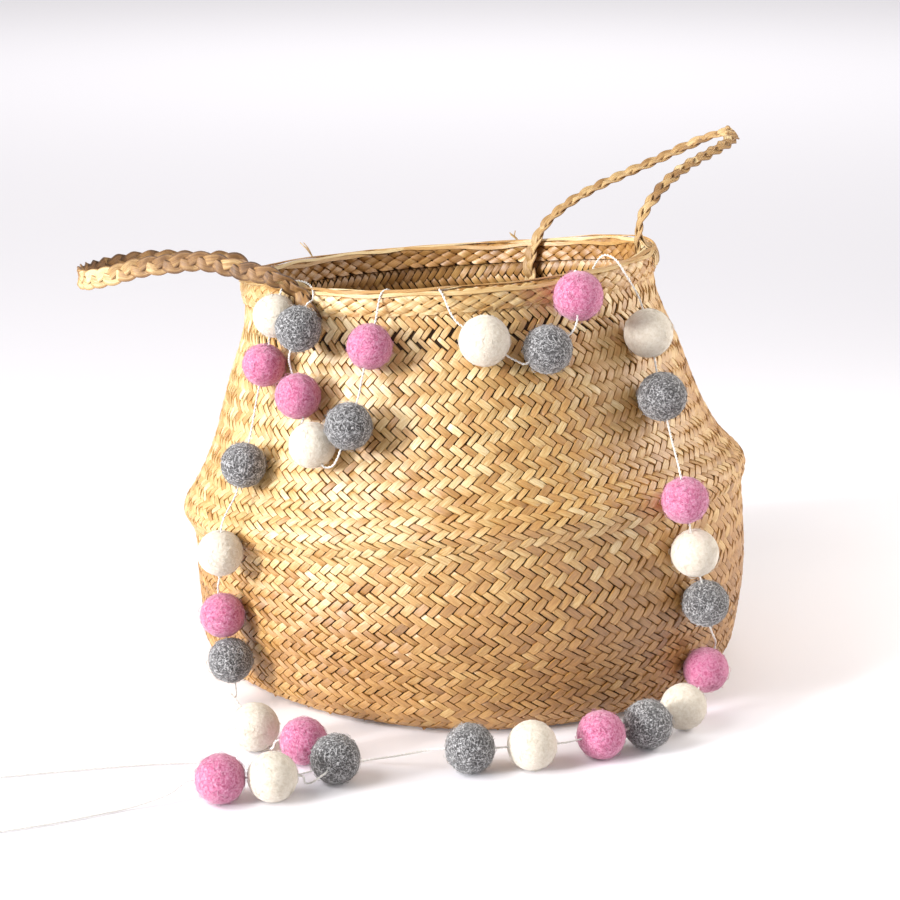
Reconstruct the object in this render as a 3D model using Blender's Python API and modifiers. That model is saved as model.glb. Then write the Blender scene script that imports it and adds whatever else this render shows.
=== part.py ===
"""A felt ball garland hung on a round straw belly basket with two plaited handles.

Metres, +Z up. The origin is the centre of the basket's flat base, on the surface it stands on,
and the front of the basket faces -Y.
"""

import math

import bmesh
import bpy
from mathutils import Vector

MM = 0.001
# Left between two pieces that touch
GAP = 0.3 * MM

# Basket shell
WALL_THICKNESS = 3.0 * MM
RIM_THICKNESS = 4.6 * MM
RIM_HEIGHT = 214.5 * MM
RIM_BAND = 13.0 * MM
BASE_RADIUS = 136.0 * MM
BASKET_STEPS = 56
# The outer wall before it slumps: height and radius, from the base edge to the rim
WALL = (
    (0.0, 136.0),
    (4.0, 142.5),
    (14.0, 146.8),
    (30.0, 148.0),
    (54.0, 149.2),
    (74.0, 148.6),
    (84.0, 148.8),
    (90.0, 151.2),
    (94.4, 152.2),
    (98.5, 150.6),
    (103.5, 146.5),
    (110.0, 141.5),
    (119.0, 136.4),
    (132.0, 130.5),
    (150.0, 124.5),
    (166.0, 119.2),
    (180.0, 113.5),
    (191.0, 110.3),
    (200.0, 109.2),
    (205.0, 110.2),
    (210.5, 110.6),
    (214.5, 109.4),
)

# How the soft upper half has slumped: it tips to the left and to the back above the base
TIP_LEFT = 0.092
TIP_BACK = 0.075
TIP_STARTS = 40.0 * MM
TIP_FULL = 94.0 * MM
# Share of a rigid tilt by which the upper half also moves sideways
LEAN = 0.65
# Sideways bulge of the lower half to the right
BULGE = 4.0 * MM
BULGE_TOP = 110.0 * MM
# The rim sags at its front and back between the handles, and more at the back
SAG_STARTS = 150.0 * MM
RIM_SAG = 6.8 * MM
RIM_DIP = 1.8 * MM
# It also hangs lower at the front right, where the string crosses it: depth, and where and how wide
FRONT_DIP = 5.0 * MM
FRONT_DIP_BEARING = 328.0
FRONT_DIP_WIDTH = 42.0

# Felt balls and their string
STRING_DIAMETER = 1.2 * MM
STRING_SIDES = 2
BORE_DIAMETER = 2.0 * MM
BALL_STEPS = 14
BALL_ARC = 8
FLOOR_FLAT = 0.15 * MM
# How far past a ball the string stays straight. Balls closer than twice this share one point.
HOLE_LEAD = 1.0 * MM
# The string takes another point where it runs this far and also bends by this many degrees
STRING_STEP = 17.0 * MM
STRING_BEND = 16.0
PINK = (0.62, 0.19, 0.36, 1.0)
CREAM = (0.78, 0.72, 0.62, 1.0)
GREY = (0.24, 0.25, 0.27, 1.0)
# In stringing order: colour, diameter, then where the ball lies.
# "floor": x and y of its centre. "wall": bearing in degrees, height on the unslumped wall,
# and how far the ball stands off the wall. "free": x, y and z of its centre.
BALLS = (
    (PINK, 23.4, "floor", -113.6, -223.0, 0.0),
    (CREAM, 23.6, "floor", -89.6, -221.0, 0.0),
    (GREY, 23.6, "floor", -61.5, -199.5, 0.0),
    (PINK, 23.0, "floor", -78.0, -176.5, 0.0),
    (CREAM, 24.0, "floor", -102.8, -159.5, 0.0),
    (GREY, 22.8, "wall", 220.0, 25.6, 0.5),
    (PINK, 22.8, "wall", 217.6, 49.0, 0.5),
    (CREAM, 23.2, "wall", 220.3, 91.4, 0.5),
    (GREY, 22.7, "wall", 221.8, 124.2, 0.5),
    (PINK, 21.7, "wall", 221.6, 173.1, 0.5),
    (CREAM, 22.0, "wall", 224.7, 205.0, 1.5),
    (GREY, 22.6, "free", -82.5, -98.0, 197.7),
    (PINK, 22.8, "wall", 234.5, 160.1, 0.5),
    (CREAM, 23.0, "wall", 239.6, 136.9, 0.5),
    (GREY, 23.2, "wall", 248.5, 145.7, 4.0),
    (PINK, 22.5, "wall", 251.3, 184.3, 0.5),
    (CREAM, 25.2, "wall", 277.7, 182.8, 0.5),
    (GREY, 24.0, "wall", 291.8, 173.5, 0.5),
    (PINK, 24.6, "wall", 301.4, 207.7, 0.5),
    (CREAM, 24.8, "wall", 320.7, 171.7, 0.5),
    (GREY, 24.6, "wall", 318.1, 141.2, 0.5),
    (PINK, 23.2, "wall", 311.6, 94.9, 0.5),
    (CREAM, 24.0, "wall", 314.1, 74.1, 0.5),
    (GREY, 23.4, "wall", 316.8, 55.3, 0.5),
    (PINK, 23.0, "wall", 319.5, 22.4, 0.5),
    (CREAM, 23.2, "floor", 109.6, -131.3, 0.0),
    (GREY, 24.0, "floor", 89.6, -155.9, 0.0),
    (PINK, 23.8, "floor", 65.9, -169.5, 0.0),
    (CREAM, 24.0, "floor", 32.0, -183.2, 0.0),
    (GREY, 24.0, "floor", 2.1, -187.2, 0.0),
)
# Places that the string passes on its way from one ball to the next. The key is how many balls
# it has passed, so 0 and 30 are its two free ends. "free": x, y, z. "wall": bearing in degrees,
# height on the unslumped wall, and how far outside (or, below 0, inside) the outer wall.
WAYS = {
    0: (
        ("free", -226.0, -263.0, 0.9),
        ("free", -207.0, -257.0, 0.9),
        ("free", -188.0, -249.5, 0.9),
        ("free", -170.0, -240.5, 0.9),
        ("free", -154.0, -232.0, 1.2),
        ("free", -137.0, -226.5, 5.5),
    ),
    2: (("free", -74.0, -213.5, 5.0), ("free", -66.5, -212.5, 9.0)),
    3: (("free", -60.5, -184.0, 11.5), ("free", -66.0, -178.0, 11.5)),
    4: (("free", -93.0, -172.0, 6.5), ("free", -95.0, -164.0, 2.2)),
    11: (
        ("free", -89.5, -65.5, 213.5),
        ("free", -84.0, -66.5, 215.8),
        ("free", -77.5, -75.0, 214.8),
        ("free", -75.5, -87.5, 210.5),
    ),
    14: (("free", -65.5, -125.5, 134.5), ("free", -62.5, -127.0, 139.0)),
    16: (
        ("wall", 253.0, 214.8, 2.0),
        ("wall", 254.0, 216.9, -1.7),
        ("wall", 255.0, 214.2, -6.2),
        ("wall", 260.5, 202.5, -8.0),
        ("wall", 266.5, 214.2, -6.2),
        ("wall", 267.5, 216.9, -1.7),
        ("wall", 268.5, 214.8, 2.1),
    ),
    17: (("free", 24.0, -119.0, 186.5),),
    19: (
        ("wall", 304.5, 219.0, 4.0),
        ("wall", 306.0, 217.4, -1.5),
        ("wall", 307.5, 214.0, -6.5),
        ("wall", 310.5, 205.0, -7.5),
        ("free", 64.5, -58.0, 219.0),
        ("free", 69.5, -63.0, 228.0),
        ("free", 75.0, -68.5, 227.8),
        ("free", 79.5, -73.0, 222.5),
    ),
    30: (
        ("free", -14.0, -185.5, 11.0),
        ("free", -32.0, -180.5, 5.5),
        ("free", -50.5, -176.5, 1.0),
        ("free", -67.0, -184.0, 0.9),
        ("free", -82.0, -193.0, 0.9),
        ("free", -100.0, -187.0, 0.9),
        ("free", -118.0, -180.0, 0.9),
        ("free", -136.0, -178.5, 0.9),
        ("free", -168.0, -183.5, 0.9),
        ("free", -199.0, -190.5, 0.9),
        ("free", -228.0, -197.5, 0.9),
    ),
}

# Plaited handles
PLAIT_WIDTH = 9.0 * MM
PLAIT_THICKNESS = 6.2 * MM
PLAIT_PITCH = 11.5 * MM
PLAIT_SIDES = 8
PLAIT_STEP = 3.3 * MM
PLAIT_RELIEF = 0.13
# Share of a plait's length over which it turns from lying on the rim to its free direction
PLAIT_TURN = 0.16
# Points along the middle of each plait: x, y, z
LEFT_PLAIT = (
    (-96.0, -76.5, 219.8),
    (-113.0, -69.0, 222.0),
    (-132.5, -61.0, 225.0),
    (-150.0, -55.0, 222.5),
    (-166.0, -49.0, 219.5),
    (-183.0, -40.0, 213.5),
    (-198.0, -26.0, 208.8),
    (-204.5, 0.0, 207.0),
    (-199.0, 26.0, 205.5),
    (-184.0, 42.0, 206.5),
    (-166.0, 50.0, 206.5),
    (-146.0, 56.0, 204.5),
    (-127.0, 62.0, 202.5),
)
RIGHT_PLAIT = (
    (91.5, -11.5, 222.5),
    (91.5, -11.5, 231.0),
    (94.0, -9.5, 241.0),
    (100.0, -4.0, 249.0),
    (108.0, 5.0, 256.5),
    (119.0, 17.0, 263.0),
    (132.0, 30.0, 268.0),
    (143.5, 44.0, 272.0),
    (149.5, 65.0, 275.0),
    (143.0, 86.0, 271.5),
    (129.0, 96.0, 264.0),
    (111.0, 99.5, 255.0),
    (92.0, 100.0, 246.5),
    (74.0, 99.5, 238.0),
    (58.0, 98.5, 228.0),
    (46.5, 97.5, 216.5),
)
# Where each plait's two ends lie against the rim, outside (1) or inside (-1) of it, from the end
# upwards: bearing in degrees and height on the unslumped wall
LEFT_ROOTS = (
    (1, ((235.0, 201.5), (232.0, 207.5), (229.0, 213.5))),
    (1, ((146.0, 190.0), (149.5, 197.0), (153.0, 203.0))),
)
RIGHT_ROOTS = (
    (-1, ((351.5, 193.0), (351.5, 201.0), (351.5, 209.0))),
    (-1, ((63.0, 184.0), (63.0, 194.0), (62.5, 205.0))),
)


def hermite(a, b, slope_a, slope_b, t):
    """A cubic from a to b, with these slopes over the whole stretch."""
    t2 = t * t
    t3 = t2 * t
    return (
        a * (2 * t3 - 3 * t2 + 1)
        + slope_a * (t3 - 2 * t2 + t)
        + b * (3 * t2 - 2 * t3)
        + slope_b * (t3 - t2)
    )


def smooth(t):
    """0 to 1 as t goes from 0 to 1, level at both ends."""
    t = min(max(t, 0.0), 1.0)
    return t * t * (3 - 2 * t)


def wall_slope(row):
    """Change of radius with height at one row of WALL, without overshoot."""
    if row in (0, len(WALL) - 1):
        other = 1 if row == 0 else row - 1
        return (WALL[other][1] - WALL[row][1]) / (WALL[other][0] - WALL[row][0])
    below, here, above = WALL[row - 1], WALL[row], WALL[row + 1]
    before = (here[1] - below[1]) / (here[0] - below[0])
    after = (above[1] - here[1]) / (above[0] - here[0])
    if before * after <= 0:
        return 0.0
    return 2 * before * after / (before + after)


def wall_radius(height):
    """Radius of the unslumped outer wall, in metres, at a height in metres."""
    h = min(max(height / MM, WALL[0][0]), WALL[-1][0])
    row = max(i for i in range(len(WALL) - 1) if WALL[i][0] <= h)
    (low, r_low), (high, r_high) = WALL[row], WALL[row + 1]
    span = high - low
    slopes = wall_slope(row) * span, wall_slope(row + 1) * span
    return hermite(r_low, r_high, *slopes, (h - low) / span) * MM


def tip_amount(height):
    return smooth((height - TIP_STARTS) / (TIP_FULL - TIP_STARTS))


def tip_sum(height):
    """tip_amount added up from the floor to this height."""
    span = TIP_FULL - TIP_STARTS
    t = min(max((height - TIP_STARTS) / span, 0.0), 1.0)
    return span * (t**3 - t**4 / 2) + max(height - TIP_FULL, 0.0)


def slump(point):
    """Where a point of the upright basket goes as its upper half tips, leans and sags."""
    x, y, z = point
    tip = tip_amount(z)
    lean = LEAN * tip_sum(z)
    bulge = BULGE * math.sin(math.pi * min(max(z / BULGE_TOP, 0.0), 1.0))
    toward_rim = max((z - SAG_STARTS) / (RIM_HEIGHT - SAG_STARTS), 0.0) ** 1.5
    side = y / max(math.hypot(x, y), MM)
    away = math.degrees(math.atan2(y, x)) - FRONT_DIP_BEARING
    away = (away + 180) % 360 - 180
    dip = FRONT_DIP * math.exp(-((away / FRONT_DIP_WIDTH) ** 2))
    sag = toward_rim * (RIM_SAG * side * side + RIM_DIP * side + dip)
    return Vector(
        (
            x - TIP_LEFT * lean + bulge,
            y + TIP_BACK * lean,
            z + tip * (TIP_LEFT * x - TIP_BACK * y) - sag,
        )
    )


def wall_point(bearing, height):
    """A point of the slumped outer wall, from a bearing in degrees and an unslumped height."""
    turn = math.radians(bearing)
    radius = wall_radius(height)
    return slump((radius * math.cos(turn), radius * math.sin(turn), height))


def wall_normal(bearing, height):
    step = 0.1 * MM
    low = min(max(height, step), RIM_HEIGHT - step)
    along = wall_point(bearing + 0.1, height) - wall_point(bearing - 0.1, height)
    up = wall_point(bearing, low + step) - wall_point(bearing, low - step)
    return along.cross(up).normalized()


def smooth_route(points, starts, ends, segments):
    """Points along a smooth curve through these points.

    starts and ends are the directions at the two ends, or None to let the curve choose.
    segments gives how many pieces a stretch takes, from its chord and its two end directions.
    """
    tangents = []
    for i, here in enumerate(points):
        before = points[max(i - 1, 0)]
        after = points[min(i + 1, len(points) - 1)]
        tangents.append((after - before).normalized())
    if starts is not None:
        tangents[0] = starts
    if ends is not None:
        tangents[-1] = ends
    route = [points[0]]
    for i in range(len(points) - 1):
        chord = points[i + 1] - points[i]
        span = chord.length
        count = max(1, round(segments(chord, tangents[i], tangents[i + 1])))
        for k in range(1, count + 1):
            route.append(
                hermite(
                    points[i],
                    points[i + 1],
                    tangents[i] * span,
                    tangents[i + 1] * span,
                    k / count,
                )
            )
    return route


def by_length(chord, *_):
    return chord.length / PLAIT_STEP


def by_bend(chord, *directions):
    bend = sum(math.degrees(chord.angle(direction)) for direction in directions)
    return min(bend / STRING_BEND, chord.length / STRING_STEP)


def material(name, colour, roughness):
    made = bpy.data.materials.new(name)
    made.use_nodes = True
    shader = made.node_tree.nodes["Principled BSDF"]
    shader.inputs["Base Color"].default_value = colour
    shader.inputs["Roughness"].default_value = roughness
    shader.inputs["Metallic"].default_value = 0.0
    return made


def collection(name):
    made = bpy.data.collections.new(name)
    bpy.context.scene.collection.children.link(made)
    return made


def add(name, mesh, group, finish=None):
    made = bpy.data.objects.new(name, mesh)
    group.objects.link(made)
    if finish is not None:
        mesh.materials.append(finish)
    return made


def turned_mesh(name, profile, steps):
    """The mesh of a Screw modifier on a profile of (radius, height) points.

    The profile runs down the outer side. One that starts on the axis ends there too, and any
    other is closed into a loop.
    """
    mesh = bpy.data.meshes.new(name)
    edges = [(i, i + 1) for i in range(len(profile) - 1)]
    if profile[0][0] > 0:
        edges.append((len(profile) - 1, 0))
    mesh.from_pydata([(radius, 0, height) for radius, height in profile], edges, [])
    helper = bpy.data.objects.new(name + "_profile", mesh)
    bpy.context.scene.collection.objects.link(helper)
    screw = helper.modifiers.new("Screw", "SCREW")
    screw.steps = steps
    screw.render_steps = steps
    screw.use_merge_vertices = True
    screw.merge_threshold = 0.01 * MM
    graph = bpy.context.evaluated_depsgraph_get()
    turned = bpy.data.meshes.new_from_object(helper.evaluated_get(graph))
    turned.name = name
    bpy.data.objects.remove(helper)
    turned.shade_smooth()
    turned.set_sharp_from_angle(angle=math.radians(40))
    return turned


def slumped(mesh):
    for vertex in mesh.vertices:
        vertex.co = slump(vertex.co)
    return mesh


def wall_thickness(height):
    """The wall's thickness, which grows into the rim band."""
    share = smooth((height - (RIM_HEIGHT - RIM_BAND - 3 * MM)) / (4 * MM))
    return WALL_THICKNESS + (RIM_THICKNESS - WALL_THICKNESS) * share


def make_basket(group):
    heights = [height * MM for height, _ in WALL]
    outer = [(radius * MM, height * MM) for height, radius in WALL]
    inner_heights = [h for h in heights if h > 2 * WALL_THICKNESS]
    inner = [(wall_radius(h) - wall_thickness(h), h) for h in inner_heights]
    inner[-1] = (inner[-1][0] + 1.2 * MM, RIM_HEIGHT)
    floor = [(0.0, WALL_THICKNESS), (BASE_RADIUS - WALL_THICKNESS, WALL_THICKNESS)]
    profile = floor + inner + outer[::-1] + [(0.0, 0.0)]
    mesh = slumped(turned_mesh("basket", profile, BASKET_STEPS))
    add("basket", mesh, group, material("straw", (0.56, 0.38, 0.19, 1.0), 0.6))


def make_rim_clearance(group):
    """The rim band grown by a little more than the gap that a handle keeps to it."""
    gap = GAP + 0.1 * MM
    low = 165 * MM
    heights = [low] + [height * MM for height, _ in WALL if height * MM > low]
    outer = [(wall_radius(h) + gap, h) for h in heights]
    inner = [(wall_radius(h) - wall_thickness(h) - gap, h) for h in heights]
    inner[-1] = (inner[-1][0] + 1.2 * MM, RIM_HEIGHT + gap)
    outer[-1] = (outer[-1][0], RIM_HEIGHT + gap)
    profile = inner + outer[::-1]
    cutter = add("rim_clearance", slumped(turned_mesh("rim_clearance", profile, BASKET_STEPS)), group)
    hide(cutter)
    return cutter


def hide(helper):
    helper.hide_render = True
    helper.display_type = "WIRE"


def root_points(side, places):
    """The middle of a plait's end where it lies against the rim, from its tip up to the free part."""
    stand = PLAIT_THICKNESS / 2 + GAP
    points = []
    for bearing, height in places:
        height *= MM
        off = stand if side > 0 else -stand - wall_thickness(height)
        points.append(wall_point(bearing, height) + wall_normal(bearing, height) * off)
    return points


def plait_mesh(name, roots, middle, flat):
    """A flat three-strand plait along a smooth path from one root to the other.

    flat is the direction of its width where it is free. At each root its width lies along the rim.
    """
    ends = [root_points(*root) for root in roots]
    free = [Vector(point) * MM for point in middle]
    path = smooth_route(ends[0] + free + ends[1][::-1], None, None, by_length)
    tangential = []
    for _, places in roots:
        turn = math.radians(places[-1][0])
        tangential.append(Vector((-math.sin(turn), math.cos(turn), 0)))
    if tangential[0].dot(flat) < 0:
        tangential[0].negate()
    if tangential[1].dot(flat) < 0:
        tangential[1].negate()
    bm = bmesh.new()
    rings = []
    along = 0.0
    length = sum((b - a).length for a, b in zip(path, path[1:]))
    for i, here in enumerate(path):
        before = path[max(i - 1, 0)]
        after = path[min(i + 1, len(path) - 1)]
        if i:
            along += (here - before).length
        tangent = (after - before).normalized()
        first = smooth(along / length / PLAIT_TURN)
        last = smooth((1 - along / length) / PLAIT_TURN)
        wide = tangential[0].lerp(Vector(flat), first) * last + tangential[1] * (1 - last)
        wide = (wide - tangent * wide.dot(tangent)).normalized()
        thick = tangent.cross(wide)
        rings.append([bm.verts.new(here + point) for point in plait_ring(along, wide, thick)])
    for ring, following in zip(rings, rings[1:]):
        for k in range(PLAIT_SIDES):
            n = (k + 1) % PLAIT_SIDES
            bm.faces.new((ring[k], ring[n], following[n], following[k]))
    bm.faces.new(rings[0][::-1])
    bm.faces.new(rings[-1])
    bmesh.ops.recalc_face_normals(bm, faces=bm.faces)
    mesh = bpy.data.meshes.new(name)
    bm.to_mesh(mesh)
    bm.free()
    mesh.shade_smooth()
    return mesh


def plait_ring(along, wide, thick):
    """One cross-section: a flat oval whose two edges swell in turn where a strand crosses over."""
    ring = []
    for k in range(PLAIT_SIDES):
        turn = 2 * math.pi * (k + 0.5) / PLAIT_SIDES
        across = math.cos(turn)
        edge = 0.5 if across < 0 else 0.0
        wave = math.cos(2 * math.pi * (along / PLAIT_PITCH + edge - 0.3 * abs(across)))
        swell = 1 + PLAIT_RELIEF * wave
        ring.append(
            wide * (PLAIT_WIDTH / 2 * across * swell)
            + thick * (PLAIT_THICKNESS / 2 * math.sin(turn) * swell)
        )
    return ring


def make_handle(name, roots, middle, flat, group, straw, cutter):
    handle = add(name, plait_mesh(name, roots, middle, flat), group, straw)
    cut = handle.modifiers.new("Rim clearance", "BOOLEAN")
    cut.operation = "DIFFERENCE"
    cut.object = cutter


def ball_mesh(name, radius):
    """A ball with a straight hole through it along Z."""
    bore = BORE_DIAMETER / 2
    top = math.asin(bore / radius)
    profile = []
    for k in range(BALL_ARC + 1):
        turn = top + (math.pi - 2 * top) * k / BALL_ARC
        profile.append((radius * math.sin(turn), radius * math.cos(turn)))
    return turned_mesh(name, profile, BALL_STEPS)


def ball_centres():
    centres = []
    for _, diameter, kind, first, second, third in BALLS:
        radius = diameter / 2 * MM
        if kind == "floor":
            centre = Vector((first * MM, second * MM, radius - FLOOR_FLAT))
        elif kind == "free":
            centre = Vector((first, second, third)) * MM
        else:
            out = wall_normal(first, second * MM) * (radius + third * MM)
            centre = wall_point(first, second * MM) + out
        centres.append(centre)
    return centres


def way_points(passed):
    """The places of WAYS between two balls, in metres."""
    points = []
    for kind, *place in WAYS.get(passed, ()):
        if kind == "free":
            points.append(Vector(place) * MM)
            continue
        bearing, height, off = place
        turn = math.radians(bearing)
        radius = wall_radius(height * MM) + off * MM
        points.append(slump((radius * math.cos(turn), radius * math.sin(turn), height * MM)))
    return points


def hole_directions(centres):
    """The way the string runs through each ball, led by whichever neighbour is nearer."""
    radii = [row[1] / 2 * MM for row in BALLS]
    directions = []
    for i, centre in enumerate(centres):
        before = way_points(i)
        after = way_points(i + 1)
        inward = centre - (before[-1] if before else centres[i - 1])
        outward = (after[0] if after else centres[i + 1]) - centre
        room_in = inward.length - radii[i] - (0 if before else radii[i - 1])
        room_out = outward.length - radii[i] - (0 if after else radii[i + 1])
        mixed = inward.normalized() / room_in**2 + outward.normalized() / room_out**2
        directions.append(mixed.normalized())
    return directions


def string_route(centres, directions):
    """The middle of the string from one free end to the other, straight inside each ball."""
    reaches = [heading * (row[1] / 2 * MM + HOLE_LEAD) for row, heading in zip(BALLS, directions)]
    route = []
    for i in range(len(centres) + 1):
        points = way_points(i)
        leaving = directions[i - 1] if i > 0 else None
        entering = directions[i] if i < len(centres) else None
        if leaving is not None:
            points.insert(0, centres[i - 1] + reaches[i - 1])
        if entering is not None:
            points.append(centres[i] - reaches[i])
        if len(points) == 2 and (points[1] - points[0]).dot(leaving) < GAP:
            route.append((points[0] + points[1]) / 2)
            continue
        route += smooth_route(points, leaving, entering, by_bend)
    return route


def make_balls(centres, directions, group, cutters):
    felts = {
        PINK: material("pink felt", PINK, 0.95),
        CREAM: material("cream felt", CREAM, 0.95),
        GREY: material("grey felt", GREY, 0.95),
    }
    floor = None
    for i, (colour, diameter, kind, *_) in enumerate(BALLS):
        name = f"ball_{i + 1:02d}"
        ball = add(name, ball_mesh(name, diameter / 2 * MM), group, felts[colour])
        ball.location = centres[i]
        ball.rotation_mode = "QUATERNION"
        ball.rotation_quaternion = Vector((0, 0, 1)).rotation_difference(directions[i])
        if kind != "floor":
            continue
        if floor is None:
            floor = make_floor_cutter(cutters)
        cut = ball.modifiers.new("Flat spot", "BOOLEAN")
        cut.operation = "DIFFERENCE"
        cut.object = floor


def make_floor_cutter(group):
    """A slab under the surface that trims a small flat spot where a ball lies."""
    bm = bmesh.new()
    bmesh.ops.create_cube(bm, size=1.0)
    mesh = bpy.data.meshes.new("below_the_surface")
    bm.to_mesh(mesh)
    bm.free()
    slab = add("below_the_surface", mesh, group)
    slab.location.z = -0.5
    hide(slab)
    return slab


def make_string(route, group):
    curve = bpy.data.curves.new("string", "CURVE")
    curve.dimensions = "3D"
    curve.bevel_depth = STRING_DIAMETER / 2
    curve.bevel_resolution = STRING_SIDES
    curve.use_fill_caps = True
    spline = curve.splines.new("POLY")
    spline.points.add(len(route) - 1)
    for point, place in zip(spline.points, route):
        point.co = (*place, 1.0)
    add("string", curve, group, material("white string", (0.85, 0.84, 0.80, 1.0), 0.7))


def main():
    for old in list(bpy.data.objects):
        bpy.data.objects.remove(old)
    parts = collection("felt ball garland")
    cutters = collection("cutters")
    make_basket(parts)
    rim_clearance = make_rim_clearance(cutters)
    straw = material("plaited straw", (0.48, 0.31, 0.15, 1.0), 0.6)
    upright = Vector((0, 0, 1))
    make_handle("handle_left", LEFT_ROOTS, LEFT_PLAIT, upright, parts, straw, rim_clearance)
    backward = Vector((-0.3, 0.9, 0.3)).normalized()
    make_handle("handle_right", RIGHT_ROOTS, RIGHT_PLAIT, backward, parts, straw, rim_clearance)
    centres = ball_centres()
    directions = hole_directions(centres)
    make_balls(centres, directions, parts, cutters)
    make_string(string_route(centres, directions), parts)


main()
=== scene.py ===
"""The looks of a felt ball garland and the straw belly basket that it hangs on.

Metres, +Z up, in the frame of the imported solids: the origin is the centre of the basket's base, and
the front of the basket faces -Y.
"""

import math

import bpy
import numpy as np
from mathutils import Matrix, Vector


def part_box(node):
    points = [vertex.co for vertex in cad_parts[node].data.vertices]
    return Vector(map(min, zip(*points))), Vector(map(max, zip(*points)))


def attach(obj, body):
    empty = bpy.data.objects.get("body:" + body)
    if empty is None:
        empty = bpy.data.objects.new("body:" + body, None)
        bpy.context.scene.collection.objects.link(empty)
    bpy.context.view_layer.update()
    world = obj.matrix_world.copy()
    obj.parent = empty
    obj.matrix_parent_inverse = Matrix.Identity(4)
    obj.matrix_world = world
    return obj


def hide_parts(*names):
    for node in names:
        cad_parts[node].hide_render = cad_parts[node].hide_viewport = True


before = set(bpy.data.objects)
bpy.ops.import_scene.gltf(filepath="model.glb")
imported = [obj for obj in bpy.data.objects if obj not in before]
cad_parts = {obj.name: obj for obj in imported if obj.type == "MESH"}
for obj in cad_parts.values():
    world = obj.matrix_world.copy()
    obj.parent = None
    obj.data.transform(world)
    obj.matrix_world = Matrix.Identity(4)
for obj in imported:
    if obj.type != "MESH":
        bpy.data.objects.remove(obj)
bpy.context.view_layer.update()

MM = 0.001

# The camera, level from side to side
CAMERA_AT = (-0.0074, -1.2, 0.426)
CAMERA_DOWN = 14.76
CAMERA_LENS = 90.92
SENSOR = 36.0

# The basket's outer wall before it slumps: height and radius in millimetres, base edge to rim
WALL = (
    (0.0, 136.0),
    (4.0, 142.5),
    (14.0, 146.8),
    (30.0, 148.0),
    (54.0, 149.2),
    (74.0, 148.6),
    (84.0, 148.8),
    (90.0, 151.2),
    (94.4, 152.2),
    (98.5, 150.6),
    (103.5, 146.5),
    (110.0, 141.5),
    (119.0, 136.4),
    (132.0, 130.5),
    (150.0, 124.5),
    (166.0, 119.2),
    (180.0, 113.5),
    (191.0, 110.3),
    (200.0, 109.2),
    (205.0, 110.2),
    (210.5, 110.6),
    (214.5, 109.4),
)
RIM_HEIGHT = 214.5 * MM
WALL_THICKNESS = 3.0 * MM
RIM_THICKNESS = 4.6 * MM

# How the soft upper half has slumped, as in the solids
TIP_LEFT = 0.092
TIP_BACK = 0.075
TIP_STARTS = 40.0 * MM
TIP_FULL = 94.0 * MM
LEAN = 0.65
BULGE = 4.0 * MM
BULGE_TOP = 110.0 * MM
SAG_STARTS = 150.0 * MM
RIM_SAG = 6.8 * MM
RIM_DIP = 1.8 * MM
FRONT_DIP = 5.0 * MM
FRONT_DIP_BEARING = 328.0
FRONT_DIP_WIDTH = 42.0

# The weave's own give, over the solids: the base edge at the front left, and the back rim
DRAWN_IN = 7.0 * MM
DRAWN_IN_BEARING = 226.0
DRAWN_IN_WIDTH = 42.0
DRAWN_IN_TO = 55.0 * MM
LIFT = 4.5 * MM
LIFT_BEARING = 103.0
LIFT_WIDTH = 42.0
LIFT_FROM = 165.0 * MM

# The weave: flat straws on two diagonals, each over two and under two of the others
STRAWS = 144
# A float is this long from end to end, which sets how far apart the rows are
FLOAT_LENGTH = 7.75 * MM
# How far each row is shifted against the one below, in straws, in the belly and in the neck
BELLY_SHIFT = -0.2
NECK_SHIFT = -0.08
# The wall's weave reaches under the base to this radius, this far above the floor
UNDERSIDE_FROM = 112.0 * MM
UNDERSIDE_LIFT = 0.6 * MM
BASE_PITCH = 6.3 * MM
BAND_HEIGHT = 204.0 * MM
# Painted light and shade: how much paler straws outside are painted at these heights, darker low down and
# paler towards the rim as light falls from above, and how much darker inside and in the base, painted shade
# where less light falls
PAINTED_LIGHT_HEIGHTS = (50 * MM, 85 * MM, 130 * MM, 190 * MM)
PAINTED_LIGHT_CHANGES = (-0.19, 0.01, 0.0, 0.06)
INSIDE_PAINTED_SHADE = -0.16
# The bearing of the side that the key light falls on, and how much paler it is painted there than in the
# middle: painted light
LIT_SIDE_BEARING = 220.0
LIT_SIDE_PALENESS = 0.1
# The rim band, woven of wider straws
RIM_BAND_FROM = 202.5 * MM
RIM_STRAWS = 72
RIM_ROW = 6.0 * MM
# The row of slits below it: its height, and each half's width in straws
SLIT_HEIGHT = 197.5 * MM
SLIT_WIDTH = 0.19
# The thin straws along the rim's top: rows from its middle, and millimetres off the band
EDGE_STRAWS = ((-0.42, 1.5), (-0.12, 1.9), (0.2, 1.6), (0.45, 1.3))
EDGE_STRAW_WIDTH = 2.0 * MM
# Straws that fan out from the handles' front ends: where they start, the bearing and half width of
# the fan in degrees, and how many rows below the rim's top they end
RIM_FANS = (
    ((91.8, -12.5, 230.0), 350.5, 5.5, 1.6),
    ((-93.0, -77.5, 218.5), 226.0, 5.0, 1.9),
)
FAN_LIFT = 2.1 * MM
FAN_WIDTH = 2.6 * MM
# Dry ends that stick out of the back rim: their bearing, and how far they reach
RIM_WISPS = (
    (134.0, (-6.0, 0.0, 8.0)),
    (66.0, (-4.0, 1.0, 4.5)),
)

# The string, from its free end at the front left to the other one
HOLE_LEAD = 1.0 * MM
GAP = 0.3 * MM
FLOOR_FLAT = 0.15 * MM
# The string's two twisted plies
PLY_PITCH = 4.0
PLY_OFFSET = 0.3 * MM
PLY_RADIUS = 0.34 * MM
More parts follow.
